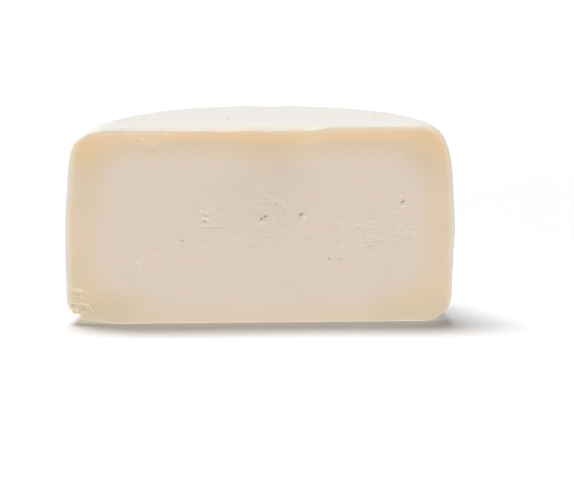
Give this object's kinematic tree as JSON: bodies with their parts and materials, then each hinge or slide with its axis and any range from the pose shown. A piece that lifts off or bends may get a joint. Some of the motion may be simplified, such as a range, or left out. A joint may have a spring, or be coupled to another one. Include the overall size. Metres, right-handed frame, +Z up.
{
  "type": "half wheel of goat cheese",
  "caption": "Half of a pressed round of goat cheese with a thin natural rind, resting on its flat base, with a flat cut face in front and a crumbled lower corner.",
  "frame": {"origin": "on the base, below the centre of the bounding box", "axes": "+X along the cut to the right, as seen facing the cut face; +Y from the cut face to the rounded back; +Z up"},
  "size_m": [0.2012, 0.1003, 0.1023],
  "materials": {
    "cheese": "pale cream paste, smooth and slightly waxy, straw-orange under a thin pale grey-cream rind"
  },
  "bodies": {
    "root": {"half_wheel": "cheese"}
  },
  "joints": []
}
